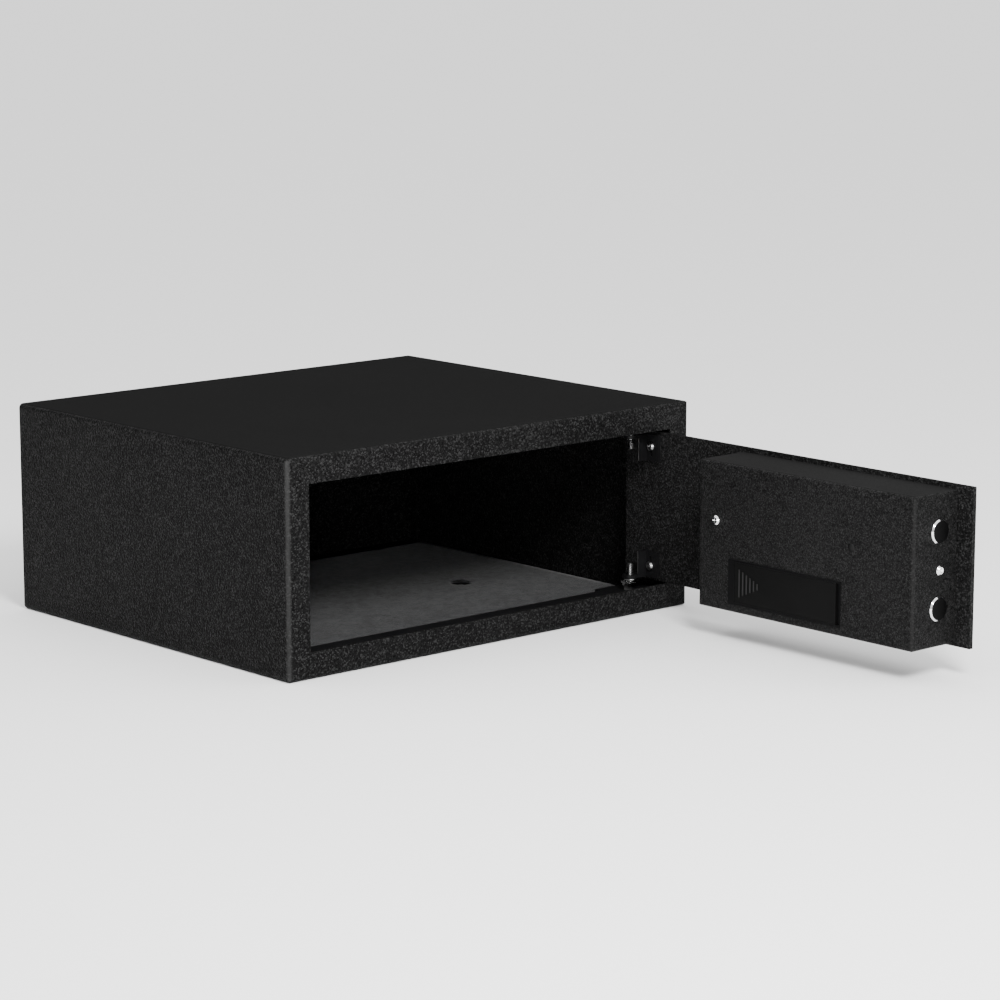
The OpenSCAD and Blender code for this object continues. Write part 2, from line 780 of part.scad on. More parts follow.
module board_screws() {
    color("silver") on_door() for (p = standoff_xz())
        translate([p[0], board_y, p[1]]) rotate([90, 0, 0]) pan_screw(2.8, 1.7, 1.5, 6);
}

// Stem behind the small hole in the cover's face, with a wide head that closes the hole
module reset_button() {
    head_y = cover_y1 - 2.2;
    color([0.1, 0.1, 0.1]) on_door() {
        rod_y(reset_x, reset_z, board_y + board_t + 4, head_y - 1.2, reset_r);
        rod_y(reset_x, reset_z, head_y - 1.2, head_y, reset_r + 2.5);
    }
}

// ---------- keypad on the outside of the door ----------

function key_pos(i) = [key_x + (i % 3 - 1) * key_pitch_x,
                       mid_z + (1.5 - floor(i / 3)) * key_pitch_z];

module keypad_housing() {
    front = pad_y0 + pad_wall;
    color([0.09, 0.09, 0.10]) on_door() difference() {
        folded_box([pad_x - pad_w / 2, pad_y0, mid_z - pad_h / 2],
                   [pad_x + pad_w / 2, plate_y0, mid_z + pad_h / 2], 3);
        along_y(front, plate_y0 + 1)
            round_rect(pad_x - pad_w / 2 + pad_wall, mid_z - pad_h / 2 + pad_wall,
                       pad_x + pad_w / 2 - pad_wall, mid_z + pad_h / 2 - pad_wall, pad_r - pad_wall);
        for (i = [0 : len(KEYS) - 1])
            along_y(pad_y0 - 1, front + 1) key_outline(i, 0.3);
        block([display_x - display_w / 2, pad_y0 - 1, display_z - display_h / 2],
              [display_x + display_w / 2, front + 1, display_z + display_h / 2]);
        for (side = [-12, 12]) rod_y(display_x + side, display_z - 28, pad_y0 - 1, front + 1, 2.5);
        rod_y(override_x, override_z, pad_y0 - 1, front + 1, override_r + 2 + slop);
    }
}

module key_outline(i, grow) {
    p = key_pos(i);
    round_rect(p[0] - key_w / 2 - grow, p[1] - key_h / 2 - grow,
               p[0] + key_w / 2 + grow, p[1] + key_h / 2 + grow, 2 + grow);
}

// Cap that stands out of the housing, and the wider foot that keeps it in
module key(i) {
    proud = 1.6;
    foot_y = pad_y0 + pad_wall + 0.1;
    foot_t = 1.5;
    color([0.75, 0.76, 0.78]) on_door() {
        along_y(pad_y0 - proud, foot_y) key_outline(i, 0);
        along_y(foot_y, foot_y + foot_t) key_outline(i, key_flange);
    }
}

// Board on the plate, with a small switch under each key
module keypad_board() {
    switch_r = 3;
    key_foot = pad_y0 + pad_wall + 0.1 + 1.5;
    color([0.05, 0.35, 0.15]) on_door() difference() {
        union() {
            block([pad_x - pad_w / 2 + 6, plate_y0 - board_t, mid_z - pad_h / 2 + 6],
                  [pad_x + pad_w / 2 - 6, plate_y0, mid_z + pad_h / 2 - 6]);
            for (i = [0 : len(KEYS) - 1])
                rod_y(key_pos(i)[0], key_pos(i)[1],
                      key_foot + key_travel + 0.1, plate_y0 - board_t, switch_r);
        }
        rod_y(override_x, override_z, plate_y0 - board_t - 1, plate_y0 + 1, override_r + 2.5);
    }
}

// Clear window over the display, held behind the housing's front
module display_window() {
    lip = 2;
    front = pad_y0 + pad_wall;
    color([0.05, 0.07, 0.06]) on_door() {
        block([display_x - display_w / 2 + 0.2, pad_y0 + 0.6, display_z - display_h / 2 + 0.2],
              [display_x + display_w / 2 - 0.2, front, display_z + display_h / 2 - 0.2]);
        block([display_x - display_w / 2 - lip, front, display_z - display_h / 2 - lip],
              [display_x + display_w / 2 + lip, front + 1.2, display_z + display_h / 2 + lip]);
    }
}

module status_lights() {
    color([0.2, 0.6, 0.2]) on_door() for (side = [-12, 12])
        rod_y(display_x + side, display_z - 28, pad_y0 - 0.3, plate_y0 - board_t, 2.4);
}

// Key-operated override: barrel through the plate, with a head in the housing's front
module override_barrel() {
    color("silver") on_door() difference() {
        union() {
            rod_y(override_x, override_z, pad_y0 - 1.5, plate_y0, override_r + 2);
            rod_y(override_x, override_z, plate_y0, plate_y1 + 14, override_r);
        }
        rod_y(override_x, override_z, pad_y0 - 3, plate_y1 + 15, 5 + slop);
    }
}

module override_nut() {
    color("silver") on_door() difference() {
        translate([override_x, plate_y1, override_z]) rotate([-90, 0, 0]) cylinder(r = 13, h = 4, $fn = 6);
        rod_y(override_x, override_z, plate_y1 - 1, plate_y1 + 5, override_r);
    }
}

// Turning plug with a key slot, and the cam on its inner end
module override_plug() {
    cam_y = plate_y1 + 14.3;
    color([0.75, 0.68, 0.45]) on_door() difference() {
        union() {
            rod_y(override_x, override_z, pad_y0 - 1.2, cam_y + 3, 5);
            along_y(cam_y, cam_y + 3) {
                translate([override_x - 4, override_z - 14]) square([8, 14]);
                translate([override_x, override_z - 14]) circle(4);
            }
        }
        block([override_x - 0.8, pad_y0 - 3, override_z - 3.5],
              [override_x + 0.8, pad_y0 + 9, override_z + 3.5]);
    }
}

// ---------- choice of what to show ----------

body_shell();
front_frame();
back_panel();
lower_flange();
upper_flange();
strike_flange();
lower_hinge_tab();
upper_hinge_tab();
lower_pin();
upper_pin();
pin_nuts();
bearing_washer();
floor_mat();
door_plate();
lower_bracket();
upper_bracket();
bracket_screws();
lock_cover();
bolt_guide();
cover_post();
cover_screws();
guide_pins();
motor();
motor_bracket();
motor_screws();
battery_tray();
battery_contacts();
batteries();
battery_lid();
circuit_board();
board_parts();
board_standoffs();
board_screws();
reset_button();
carriage();
upper_bolt();
lower_bolt();
bolt_screws();
pinion();
pinion_shaft();
keypad_housing();
keypad_board();
display_window();
status_lights();
override_barrel();
override_nut();
override_plug();
for (i = [0 : len(KEYS) - 1])
    key(i);
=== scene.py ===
import math

import bmesh
import bpy
from mathutils import Matrix, Vector, noise


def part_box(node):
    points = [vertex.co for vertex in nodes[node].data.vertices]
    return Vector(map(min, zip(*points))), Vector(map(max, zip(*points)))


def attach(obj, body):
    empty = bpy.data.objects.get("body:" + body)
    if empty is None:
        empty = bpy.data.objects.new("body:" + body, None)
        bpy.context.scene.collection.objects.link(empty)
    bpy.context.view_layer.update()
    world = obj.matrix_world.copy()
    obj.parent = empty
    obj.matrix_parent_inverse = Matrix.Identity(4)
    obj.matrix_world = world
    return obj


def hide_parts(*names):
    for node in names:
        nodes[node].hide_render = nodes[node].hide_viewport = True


# ---------- driving values, in metres and degrees ----------

CAMERA_PLACE = (-1.8068, -2.2132, 0.6295)
CAMERA_HEADING = 41.73     # from +Y towards +X
CAMERA_DROP = 10.62        # below level
CAMERA_LENS = 121.0        # mm, on a 36 mm sensor

MAT_CELL = 0.006           # mesh size of the felt mat
MAT_WAVE = 0.0004          # height of its unevenness
MAT_TAB_GAP = 0.0015       # gap between the mat and the hinge tab
MAT_HOLE_X = 0.120         # its holes stand this far either side of the middle
MAT_HOLE_R = 0.009
MAT_HOLE_STEPS = 32
MAT_SKIN = 0.0002          # keeps the mat's underside clear of the floor
FLOOR_HALF = 40.0
DIGIT_SIZE = 0.0085
DIGIT_RAISE = 0.00012
EDGE_RADIUS = 0.0004       # rounding of cut sheet and plate edges

# name, nodes, then fineness of the grain and grey of the coat, of its pale specks painted in as glints, of
# the painted highlight on its folds and of the painted light on its level tops
# The four coats are one black coat in lighter and darker copies, painted lighter or darker per part to set
# how lit or shaded that part looks
COATS = (("cabinet_coat", ("body_shell", "back_panel"), (1.0, 0.0058, 0.025, 0.032, 0.0052)),
         ("border_coat", ("front_frame",), (1.0, 0.0078, 0.027, 0.032, 0.0052)),
         ("plate_coat", ("door_plate",), (1.0, 0.0105, 0.032, 0.032, 0.0052)),
         ("cover_coat", ("lock_cover",), (1.25, 0.0120, 0.023, 0.015, 0.0115)))
SATIN = ("lower_flange", "upper_flange", "strike_flange", "lower_hinge_tab", "upper_hinge_tab",
         "lower_bracket", "upper_bracket")
CHROMED = ("pin_nuts", "bearing_washer", "cover_screws", "override_barrel")
DULL_STEEL = ("lower_pin", "upper_pin", "bracket_screws")
BOLTS = ("upper_bolt", "lower_bolt")
ZINC = ("bolt_guide", "cover_post", "guide_pins", "motor", "motor_bracket", "motor_screws",
        "board_screws", "carriage", "bolt_screws", "pinion_shaft", "override_nut", "battery_contacts")
BRASS = ("pinion", "board_standoffs", "override_plug")
MOULDED = ("battery_tray", "keypad_housing")
BOARDS = ("circuit_board", "keypad_board")
KEY_MARKS = {"key_1": "1", "key_2": "2", "key_3": "3", "key_4": "4", "key_5": "5", "key_6": "6",
             "key_7": "7", "key_8": "8", "key_9": "9", "key_star": "*", "key_0": "0", "key_hash": "#"}


# ---------- node helpers ----------

def grey(value):
    return (value, value, value)


class Shader:
    """A material under construction: short calls that add nodes and return their outputs."""

    def __init__(self, name, colour, roughness, metallic=0.0, specular=0.5):
        self.material = bpy.data.materials.new(name)
        self.material.use_nodes = True
        self.tree = self.material.node_tree
        self.surface = self.tree.nodes["Principled BSDF"]
        self.surface.inputs["Base Color"].default_value = (*colour, 1.0)
        self.surface.inputs["Roughness"].default_value = roughness
        self.surface.inputs["Metallic"].default_value = metallic
        self.surface.inputs["Specular IOR Level"].default_value = specular
        self.place = self.tree.nodes.new("ShaderNodeTexCoord").outputs["Object"]

    def node(self, kind, inputs=None, **settings):
        made = self.tree.nodes.new(kind)
        for key, value in settings.items():
            setattr(made, key, value)
        for key, value in (inputs or {}).items():
            if isinstance(value, bpy.types.NodeSocket):
                self.tree.links.new(value, made.inputs[key])
            else:
                made.inputs[key].default_value = value
        return made

    def noise(self, scale, detail=4.0, rough=0.5, place=None):
        source = place or self.place
        return self.node("ShaderNodeTexNoise", {"Vector": source, "Scale": scale, "Detail": detail,
                                                "Roughness": rough}).outputs["Fac"]

    def cells(self, scale, feature="F1", place=None):
        source = place or self.place
        made = self.node("ShaderNodeTexVoronoi", {"Vector": source, "Scale": scale}, feature=feature)
        return made.outputs["Distance"]

    def shades(self, scale, place=None):
        """A random value for each cell."""
        source = place or self.place
        made = self.node("ShaderNodeTexVoronoi", {"Vector": source, "Scale": scale})
        return self.node("ShaderNodeSeparateXYZ", {0: made.outputs["Color"]}).outputs["X"]

    def warped(self, scale, amount):
        """The object coordinates, pushed about by noise."""
        push = self.node("ShaderNodeTexNoise", {"Vector": self.place, "Scale": scale}).outputs["Color"]
        centred = self.node("ShaderNodeVectorMath", {0: push, 1: (0.5, 0.5, 0.5)}, operation="SUBTRACT")
        scaled = self.node("ShaderNodeVectorMath", {0: centred.outputs[0], "Scale": amount},
                           operation="SCALE")
        moved = self.node("ShaderNodeVectorMath", {0: self.place, 1: scaled.outputs[0]}, operation="ADD")
        return moved.outputs[0]

    def stretched(self, x, y, z):
        return self.node("ShaderNodeMapping", {"Vector": self.place, "Scale": (x, y, z)}).outputs[0]

    def maths(self, operation, a, b=0.0, clamp=False):
        return self.node("ShaderNodeMath", {0: a, 1: b}, operation=operation, use_clamp=clamp).outputs[0]

    def remap(self, value, low, high, to_low, to_high):
        made = self.node("ShaderNodeMapRange", {"Value": value, "From Min": low, "From Max": high,
                                                "To Min": to_low, "To Max": to_high})
        return made.outputs["Result"]

    def blend(self, factor, low, high):
        made = self.node("ShaderNodeMix", {"Factor": factor}, data_type="RGBA")
        made.inputs[6].default_value = (*low, 1.0)
        made.inputs[7].default_value = (*high, 1.0)
        return made.outputs[2]

    def over(self, factor, under, top):
        """A flat colour laid over a colour socket."""
        made = self.node("ShaderNodeMix", {"Factor": factor}, data_type="RGBA")
        self.tree.links.new(under, made.inputs[6])
        made.inputs[7].default_value = (*top, 1.0)
        return made.outputs[2]

    def facing(self, axis, sign):
        """1 on faces whose own normal points along one object axis, 0 elsewhere."""
        normal = self.tree.nodes.new("ShaderNodeTexCoord").outputs["Normal"]
        part = self.node("ShaderNodeSeparateXYZ", {0: normal}).outputs[axis]
        return self.remap(part, 0.96 * sign, 0.99 * sign, 0.0, 1.0)

    def colour(self, socket):
        self.tree.links.new(socket, self.surface.inputs["Base Color"])

    def roughness(self, socket):
        self.tree.links.new(socket, self.surface.inputs["Roughness"])

    def bump(self, height, strength, distance, onto=None):
        inputs = {"Height": height, "Strength": strength, "Distance": distance}
        if onto:
            inputs["Normal"] = onto
        result = self.node("ShaderNodeBump", inputs).outputs["Normal"]
        self.tree.links.new(result, self.surface.inputs["Normal"])
        return result

    def set(self, **values):
        for key, value in values.items():
            self.surface.inputs[key.replace("_", " ")].default_value = value
        return self

    def level_top(self):
        """1 on faces that look straight up, 0 elsewhere."""
        geometry = self.node("ShaderNodeNewGeometry").outputs["Normal"]
        upward = self.node("ShaderNodeSeparateXYZ", {0: geometry}).outputs["Z"]
        return self.remap(upward, 0.80, 0.97, 0.0, 1.0)

    def distance_from_axis(self, point):
        """Distance from the upright line through a point."""
        offset = self.node("ShaderNodeVectorMath", {0: self.place, 1: point}, operation="SUBTRACT")
        level = self.node("ShaderNodeVectorMath", {0: offset.outputs[0], 1: (1, 1, 0)}, operation="MULTIPLY")
        return self.node("ShaderNodeVectorMath", {0: level.outputs[0]}, operation="LENGTH").outputs["Value"]

    def upright_corners(self):
        """1 on upright folds, whose own normal lies between the X and Y axes."""
        normal = self.tree.nodes.new("ShaderNodeTexCoord").outputs["Normal"]
        sizes = self.node("ShaderNodeVectorMath", {0: normal}, operation="ABSOLUTE")
        parts = self.node("ShaderNodeSeparateXYZ", {0: sizes.outputs[0]})
        smaller = self.maths("MINIMUM", parts.outputs["X"], parts.outputs["Y"])
        return self.remap(smaller, 0.10, 0.55, 0.0, 1.0)


# ---------- materials ----------

def textured_powder_coat(name, fineness, coat_tone, glint_tone, fold_highlight_tone, top_light_tone):
    """Black coat with a pebbled grain, painted shade in its creases and painted light on its pebbles, pale
    specks painted in as glints, smoother and painted lighter on level tops, and a painted highlight on
    upright folds.
    """
    s = Shader(name, grey(0.003), 0.36, specular=0.02)
    pebbles = s.cells(620 * fineness, "SMOOTH_F1", s.warped(500, 0.0016))
    creases = s.cells(400 * fineness, "DISTANCE_TO_EDGE", s.warped(350, 0.0025))
    fine = s.noise(1900, 3.0, 0.6)
    broad = s.noise(9, 3.0)
    domes = s.remap(pebbles, 0.05, 0.75, 1.0, 0.0)
    folds = s.remap(creases, 0.0, 0.18, 0.0, 1.0)
    grain = s.maths("ADD", s.maths("MULTIPLY", domes, 0.75), s.maths("MULTIPLY", folds, 0.35))
    height = s.maths("ADD", grain, s.maths("MULTIPLY", fine, 0.35))
    level = s.level_top()
    keep = s.remap(level, 0.0, 1.0, 1.0, 0.07)
    s.bump(s.maths("MULTIPLY", height, keep), 1.0, 0.00045)
    # The coat is darkest in the creases and between the pebbles and palest on the pebble tops: painted shade
    # and painted light that follow the bump, with a broad random change of tone
    tone = s.maths("MULTIPLY", grain, s.remap(broad, 0.3, 0.7, 0.75, 1.1))
    coat = s.blend(tone, grey(0.0008), grey(coat_tone))
    # Pale specks on random pebbles are painted glints; they are left off level tops
    painted_glints = s.remap(s.shades(900 * fineness), 0.65, 1.0, 0.0, 0.8)
    glinted_coat = s.over(s.maths("MULTIPLY", painted_glints, keep), coat, grey(glint_tone))
    # Level tops are half mixed with a tone of their own: painted light, paler on the lock cover than
    # elsewhere
    half_level = s.maths("MULTIPLY", level, 0.5)
    with_top_light = s.over(half_level, glinted_coat, grey(top_light_tone))
    # A paler grey on upright folds, varied at random, is a painted highlight
    fold_highlight = s.maths("MULTIPLY", s.upright_corners(), s.remap(broad, 0.3, 0.7, 0.45, 0.65))
    s.colour(s.over(fold_highlight, with_top_light, grey(fold_highlight_tone)))
    s.roughness(s.maths("ADD", s.remap(fine, 0.3, 0.7, 0.28, 0.44), half_level))
    return s.material


def satin_paint(hinge):
    """Smooth black paint with a grey painted highlight along upright edges, but not on the lugs round the
    hinge axis.
    """
    s = Shader("satin_paint", (0.005, 0.005, 0.0055), 0.42, specular=0.10)
    orange_peel = s.noise(700, 2.0)
    broad = s.noise(25, 4.0)
    s.bump(orange_peel, 0.35, 0.00012)
    painted = s.blend(broad, (0.003, 0.003, 0.0032), (0.006, 0.006, 0.0064))
    beyond_lug = s.remap(s.distance_from_axis(hinge), 0.0066, 0.0069, 0.0, 1.0)
    # Grey painted highlight along upright edges, kept off the lug rims
    edge_highlight = s.maths("MULTIPLY", s.upright_corners(), beyond_lug)
    s.colour(s.over(edge_highlight, painted, grey(0.16)))
    s.roughness(s.remap(broad, 0.3, 0.7, 0.34, 0.52))
    return s.material


def plated_steel(name, tone, roughness):
    s = Shader(name, grey(tone), roughness, metallic=1.0)
    smears = s.noise(60, 5.0, 0.6)
    pits = s.noise(1800, 2.0)
    s.roughness(s.remap(smears, 0.3, 0.7, roughness * 0.6, roughness * 1.8))
    s.colour(s.blend(smears, grey(tone * 0.88), grey(tone * 1.10)))
    s.bump(pits, 0.12, 0.00005)
    return s.material


def bolt_chrome():
    """Plated bolt whose flat end carries a painted dark reflection, near black, and is finely turned."""
    s = Shader("bolt_chrome", (0.80, 0.80, 0.82), 0.10, metallic=1.0)
    smears = s.noise(60, 5.0, 0.6)
    end = s.facing("Y", -1)
    plated = s.blend(smears, (0.72, 0.72, 0.74), (0.90, 0.90, 0.91))
    # The flat end is painted near black: a painted dark reflection
    s.colour(s.over(end, plated, (0.006, 0.006, 0.0062)))
    s.roughness(s.maths("ADD", s.remap(smears, 0.3, 0.7, 0.05, 0.14), s.maths("MULTIPLY", end, 0.35)))
    s.bump(s.noise(1400, 2.0), 0.10, 0.00005)
    return s.material


def zinc_steel():
    s = Shader("zinc_steel", (0.55, 0.56, 0.58), 0.35, metallic=1.0)
    spangle = s.cells(160, "F1")
    brushed = s.noise(300, 3.0, 0.6, s.stretched(1.0, 0.08, 1.0))
    s.colour(s.blend(spangle, (0.46, 0.47, 0.50), (0.64, 0.65, 0.66)))
    s.roughness(s.remap(brushed, 0.3, 0.7, 0.26, 0.46))
    s.bump(brushed, 0.25, 0.00006)
    return s.material


def brass():
    s = Shader("brass", (0.72, 0.52, 0.22), 0.28, metallic=1.0)
    tarnish = s.noise(90, 5.0, 0.6)
    turned = s.noise(900, 2.0, 0.5, s.stretched(0.1, 1.0, 1.0))
    s.colour(s.blend(tarnish, (0.50, 0.34, 0.13), (0.80, 0.60, 0.28)))
    s.roughness(s.remap(tarnish, 0.3, 0.7, 0.20, 0.42))
    s.bump(turned, 0.2, 0.00006)
    return s.material


def grained_plastic(name, low, high, roughness, specular=0.35):
    """Moulded plastic with a spark-eroded grain."""
    s = Shader(name, high, roughness, specular=specular)
    grain = s.noise(1600, 3.0, 0.65)
    broad = s.noise(30, 3.0)
    s.bump(grain, 0.5, 0.00010)
    s.colour(s.blend(broad, low, high))
    s.roughness(s.remap(grain, 0.3, 0.7, roughness - 0.08, roughness + 0.10))
    return s.material


def lid_moulding(crown_x):
    """The lid's plastic, with a paler painted highlight on the tops of its grip ribs."""
    s = Shader("lid_moulding", grey(0.003), 0.5, specular=0.05)
    grain = s.noise(1600, 3.0, 0.65)
    plain = s.blend(s.noise(30, 3.0), grey(0.0020), grey(0.0031))
    across = s.node("ShaderNodeSeparateXYZ", {0: s.place}).outputs["X"]
    rib_highlight = s.remap(across, crown_x + 0.0003, crown_x + 0.0004, 1.0, 0.0)
    # Paler grey on the rib tops is a painted highlight
    s.colour(s.over(rib_highlight, plain, grey(0.017)))
    s.roughness(s.remap(grain, 0.3, 0.7, 0.42, 0.60))
    s.bump(grain, 0.5, 0.00010)
    return s.material


def felt():
    s = Shader("felt", (0.045, 0.045, 0.047), 0.95, specular=0.10)
    s.set(Sheen_Weight=0.10, Sheen_Roughness=0.5)
    fibres = s.noise(1300, 6.0, 0.75, s.warped(160, 0.006))
    tufts = s.noise(340, 5.0, 0.75)
    mottle = s.noise(130, 5.0, 0.8)
    mixed = s.maths("ADD", s.maths("MULTIPLY", fibres, 0.45), s.maths("MULTIPLY", tufts, 0.55))
    tone = s.maths("ADD", s.maths("MULTIPLY", mixed, 0.4), s.maths("MULTIPLY", mottle, 0.6))
    light = s.remap(tone, 0.44, 0.56, 0.0, 1.0)
    s.colour(s.blend(light, (0.0020, 0.0020, 0.0021), (0.0195, 0.0195, 0.0205)))
    s.bump(mixed, 0.9, 0.0007)
    return s.material


def circuit_green():
    s = Shader("circuit_green", (0.02, 0.16, 0.07), 0.35)
    tracks = s.cells(220, "DISTANCE_TO_EDGE")
    s.colour(s.blend(s.remap(tracks, 0.03, 0.07, 0.0, 1.0), (0.03, 0.24, 0.10), (0.012, 0.12, 0.05)))
    s.bump(tracks, 0.3, 0.00008)
    return s.material


def cell_sleeve():
    s = Shader("cell_sleeve", (0.07, 0.11, 0.19), 0.3)
    scuffs = s.noise(200, 5.0, 0.7)
    s.colour(s.blend(scuffs, (0.05, 0.08, 0.15), (0.10, 0.15, 0.24)))
    s.roughness(s.remap(scuffs, 0.3, 0.7, 0.22, 0.42))
    s.bump(scuffs, 0.15, 0.00008)
    return s.material


def smoked_window():
    s = Shader("smoked_window", (0.006, 0.009, 0.009), 0.08, specular=0.5)
    hairlines = s.noise(500, 4.0, 0.7, s.stretched(1.0, 0.15, 1.0))
    s.roughness(s.remap(hairlines, 0.35, 0.75, 0.05, 0.16))
    s.colour(s.blend(s.noise(40, 2.0), (0.004, 0.007, 0.007), (0.009, 0.013, 0.012)))
    s.bump(hairlines, 0.05, 0.00003)
    return s.material


def lamp_lens():
    s = Shader("lamp_lens", (0.05, 0.22, 0.08), 0.2, specular=0.5)
    frost = s.noise(2000, 2.0)
    s.colour(s.blend(frost, (0.04, 0.17, 0.06), (0.08, 0.27, 0.11)))
    s.bump(frost, 0.2, 0.00005)
    return s.material


def printed_ink():
    s = Shader("printed_ink", (0.015, 0.015, 0.016), 0.5)
    s.colour(s.blend(s.noise(1500, 2.0), (0.010, 0.010, 0.011), (0.020, 0.020, 0.021)))
    s.bump(s.noise(2200, 2.0), 0.1, 0.00003)
    return s.material


# ---------- pieces ----------

def use_material(nodes, names, material):
    for name in names:
        slots = nodes[name].data.materials
        slots.clear()
        slots.append(material)


def round_edges(nodes, names, radius):
    """Small bevel on the sharp edges of cut and moulded parts."""
    for name in names:
        bevel = nodes[name].modifiers.new("soft_edges", "BEVEL")
        bevel.width = radius
        bevel.segments = 2
        bevel.limit_method = "ANGLE"
        bevel.angle_limit = math.radians(50)
        bevel.harden_normals = True


def link_mesh(name, mesh, material):
    piece = bpy.data.objects.new(name, mesh)
    piece.data.materials.append(material)
    bpy.context.scene.collection.objects.link(piece)
    return piece


def ring_of_edges(form, points):
    corners = [form.verts.new(point) for point in points]
    for first, second in zip(corners, corners[1:] + corners[:1]):
        form.edges.new((first, second))


def mat_outline(low, high, tab_x, tab_y):
    """The mat seen from above: a rectangle with one corner cut out."""
    return [(low.x, low.y, 0), (tab_x, low.y, 0), (tab_x, tab_y, 0),
            (high.x, tab_y, 0), (high.x, high.y, 0), (low.x, high.y, 0)]


def circle_points(x, radius, steps):
    turns = [2 * math.pi * i / steps for i in range(steps)]
    return [(x + radius * math.cos(turn), radius * math.sin(turn), 0) for turn in turns]


def cut_into_cells(form, axis, first, last):
    """Cuts the form by a row of planes across one axis."""
    normal = [0, 0, 0]
    normal[axis] = 1
    for step in range(1, int((last - first) / MAT_CELL)):
        place = [0, 0, 0]
        place[axis] = first + step * MAT_CELL
        everything = form.verts[:] + form.edges[:] + form.faces[:]
        bmesh.ops.bisect_plane(form, geom=everything, plane_co=place, plane_no=normal)


def lift_mat(form, top):
    """Raises the mat to its height, a little uneven and lower along its rim."""
    for vert in form.verts:
        on_rim = any(edge.is_boundary for edge in vert.link_edges)
        lift = noise.noise(vert.co * 38) + 0.6 * noise.noise(vert.co * 170)
        vert.co.z = top - MAT_WAVE + (-MAT_WAVE if on_rim else MAT_WAVE * 0.6 * lift)


def felt_mat(material):
    """Felt floor mat: a fine mesh with a slightly uneven top and soft edges."""
    low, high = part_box("floor_mat")
    tab_low, tab_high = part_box("lower_hinge_tab")
    form = bmesh.new()
    ring_of_edges(form, mat_outline(low, high, tab_low.x - MAT_TAB_GAP, tab_high.y))
    for side in (-MAT_HOLE_X, MAT_HOLE_X):
        ring_of_edges(form, circle_points(side, MAT_HOLE_R, MAT_HOLE_STEPS))
    bmesh.ops.triangle_fill(form, use_beauty=True, edges=form.edges[:], normal=(0, 0, 1))
    cut_into_cells(form, 0, low.x, high.x)
    cut_into_cells(form, 1, low.y, high.y)
    lift_mat(form, high.z)
    mesh = bpy.data.meshes.new("felt_mat")
    form.to_mesh(mesh)
    form.free()
    piece = link_mesh("felt_mat", mesh, material)
    for polygon in mesh.polygons:
        polygon.use_smooth = True
    thickness = piece.modifiers.new("thickness", "SOLIDIFY")
    thickness.thickness = high.z - low.z - 2 * MAT_WAVE - MAT_SKIN
    thickness.offset = -1
    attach(piece, "cabinet")
    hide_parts("floor_mat")


def key_mark(name, text, material):
    """Raised number on a key cap, facing the same way as the key."""
    low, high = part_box(name)
    curve = bpy.data.curves.new("mark_" + name, "FONT")
    curve.body = text
    curve.size = DIGIT_SIZE
    curve.extrude = DIGIT_RAISE
    curve.align_x = "CENTER"
    curve.align_y = "CENTER"
    drawn = bpy.data.objects.new("drawn_" + name, curve)
    bpy.context.scene.collection.objects.link(drawn)
    mesh = bpy.data.meshes.new_from_object(drawn)
    bpy.data.objects.remove(drawn)
    xs = [vert.co.x for vert in mesh.vertices]
    ys = [vert.co.y for vert in mesh.vertices]
    centre = Vector(((min(xs) + max(xs)) / 2, (min(ys) + max(ys)) / 2, 0))
    upright = Matrix.Rotation(math.radians(90), 4, "Z") @ Matrix.Rotation(math.radians(90), 4, "X")
    cap_face = Vector((high.x, (low.y + high.y) / 2, (low.z + high.z) / 2))
    mesh.transform(Matrix.Translation(cap_face) @ upright @ Matrix.Translation(-centre))
    mesh.name = "mark_" + name
    mesh.materials.clear()
    piece = link_mesh("mark_" + name, mesh, material)
    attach(piece, name)


# ---------- studio ----------

def floor():
    form = bmesh.new()
    corners = [form.verts.new((x * FLOOR_HALF, y * FLOOR_HALF, 0)) for x, y in
               ((-1, -1), (1, -1), (1, 1), (-1, 1))]
    form.faces.new(corners)
    mesh = bpy.data.meshes.new("floor")
    form.to_mesh(mesh)
    form.free()
    s = Shader("studio_floor", (0.86, 0.86, 0.86), 0.9, specular=0.1)
    piece = link_mesh("floor", mesh, s.material)


def softbox(name, place, aim, size, power):
    light = bpy.data.lights.new(name, "AREA")
    light.shape = "SQUARE"
    light.size = size
    light.energy = power
    lamp = bpy.data.objects.new(name, light)
    lamp.location = place
    lamp.rotation_euler = (Vector(aim) - Vector(place)).to_track_quat("-Z", "Y").to_euler()
    bpy.context.scene.collection.objects.link(lamp)


def sky():
    """Even light from above that fades towards the horizon."""
    world = bpy.data.worlds.new("studio")
    world.use_nodes = True
    tree = world.node_tree
    background = tree.nodes["Background"]
    direction = tree.nodes.new("ShaderNodeTexCoord").outputs["Generated"]
    split = tree.nodes.new("ShaderNodeSeparateXYZ")
    tree.links.new(direction, split.inputs[0])
    fade = tree.nodes.new("ShaderNodeMapRange")
    fade.inputs["From Min"].default_value = 0.1
    fade.inputs["From Max"].default_value = 0.9
    fade.inputs["To Min"].default_value = 0.28
    fade.inputs["To Max"].default_value = 1.0
    tree.links.new(split.outputs["Z"], fade.inputs["Value"])
    tree.links.new(fade.outputs["Result"], background.inputs["Color"])
    background.inputs["Strength"].default_value = 2.2
    bpy.context.scene.world = world


def camera():
    lens = bpy.data.cameras.new("camera")
    lens.lens = CAMERA_LENS
    lens.sensor_width = 36.0
    lens.clip_end = 200.0
    eye = bpy.data.objects.new("camera", lens)
    eye.location = CAMERA_PLACE
    eye.rotation_euler = (math.radians(90 - CAMERA_DROP), 0, math.radians(-CAMERA_HEADING))
    bpy.context.scene.collection.objects.link(eye)
    bpy.context.scene.camera = eye


# ---------- the scene ----------


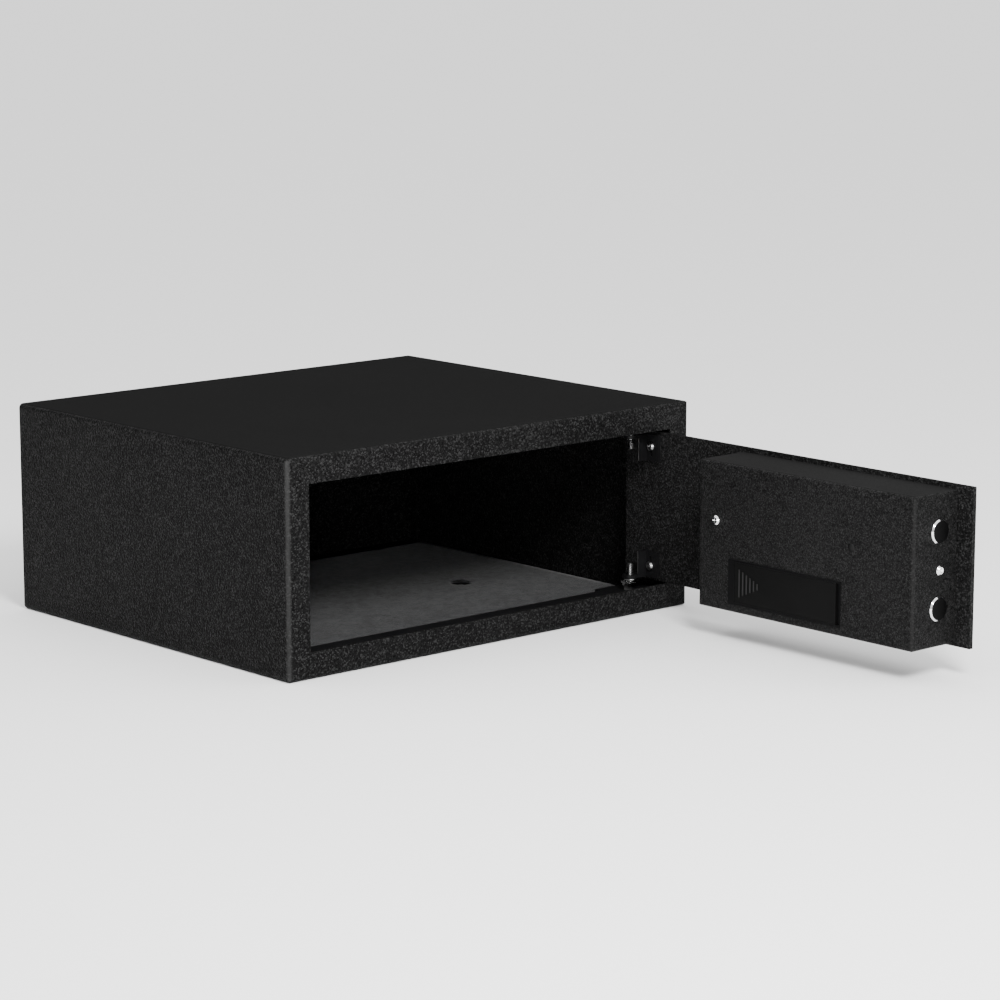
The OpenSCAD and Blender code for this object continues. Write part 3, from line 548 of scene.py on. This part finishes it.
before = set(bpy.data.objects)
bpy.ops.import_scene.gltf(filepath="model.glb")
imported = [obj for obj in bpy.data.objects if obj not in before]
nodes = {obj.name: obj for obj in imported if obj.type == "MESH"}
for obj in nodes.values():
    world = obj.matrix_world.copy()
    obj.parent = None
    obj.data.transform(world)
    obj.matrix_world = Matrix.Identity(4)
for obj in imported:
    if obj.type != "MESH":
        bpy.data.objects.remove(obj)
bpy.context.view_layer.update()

camera()
sky()
floor()
softbox("key_light", (-0.6, -1.6, 1.3), (0.1, -0.3, 0.1), 0.5, 62)
softbox("edge_light", (-1.5, -1.9, 0.35), (0, -0.2, 0.1), 0.4, 21)
softbox("fill_light", (2.2, -2.0, 1.2), (0.1, -0.3, 0.1), 1.4, 18)

for coat_name, painted, values in COATS:
    use_material(nodes, painted, textured_powder_coat(coat_name, *values))
pin_low, pin_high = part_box("lower_pin")
use_material(nodes, SATIN, satin_paint((pin_low + pin_high) / 2))
use_material(nodes, CHROMED, plated_steel("chrome", 0.85, 0.13))
use_material(nodes, DULL_STEEL, plated_steel("dull_steel", 0.26, 0.24))
use_material(nodes, BOLTS, bolt_chrome())
use_material(nodes, ZINC, zinc_steel())
use_material(nodes, BRASS, brass())
use_material(nodes, MOULDED, grained_plastic("black_moulding", (0.0020, 0.0020, 0.0021),
                                             (0.0030, 0.0030, 0.0032), 0.5, 0.05))
use_material(nodes, ["battery_lid"], lid_moulding(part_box("battery_lid")[0].x))
use_material(nodes, KEY_MARKS, grained_plastic("key_cap", (0.42, 0.43, 0.45), (0.50, 0.51, 0.53), 0.45))
use_material(nodes, BOARDS, circuit_green())
use_material(nodes, ["board_parts"], grained_plastic("component_black", (0.01, 0.01, 0.01),
                                                     (0.02, 0.02, 0.02), 0.5))
use_material(nodes, ["reset_button"], grained_plastic("button_black", (0.004, 0.004, 0.004),
                                                      (0.008, 0.008, 0.008), 0.5, 0.3))
use_material(nodes, ["batteries"], cell_sleeve())
use_material(nodes, ["display_window"], smoked_window())
use_material(nodes, ["status_lights"], lamp_lens())
round_edges(nodes, ["door_plate", "lower_flange", "strike_flange", "lower_hinge_tab",
                    "lower_bracket", "upper_bracket", "battery_lid", "battery_tray"], EDGE_RADIUS)

felt_mat(felt())
mark_material = printed_ink()
for key_name, mark in KEY_MARKS.items():
    key_mark(key_name, mark, mark_material)
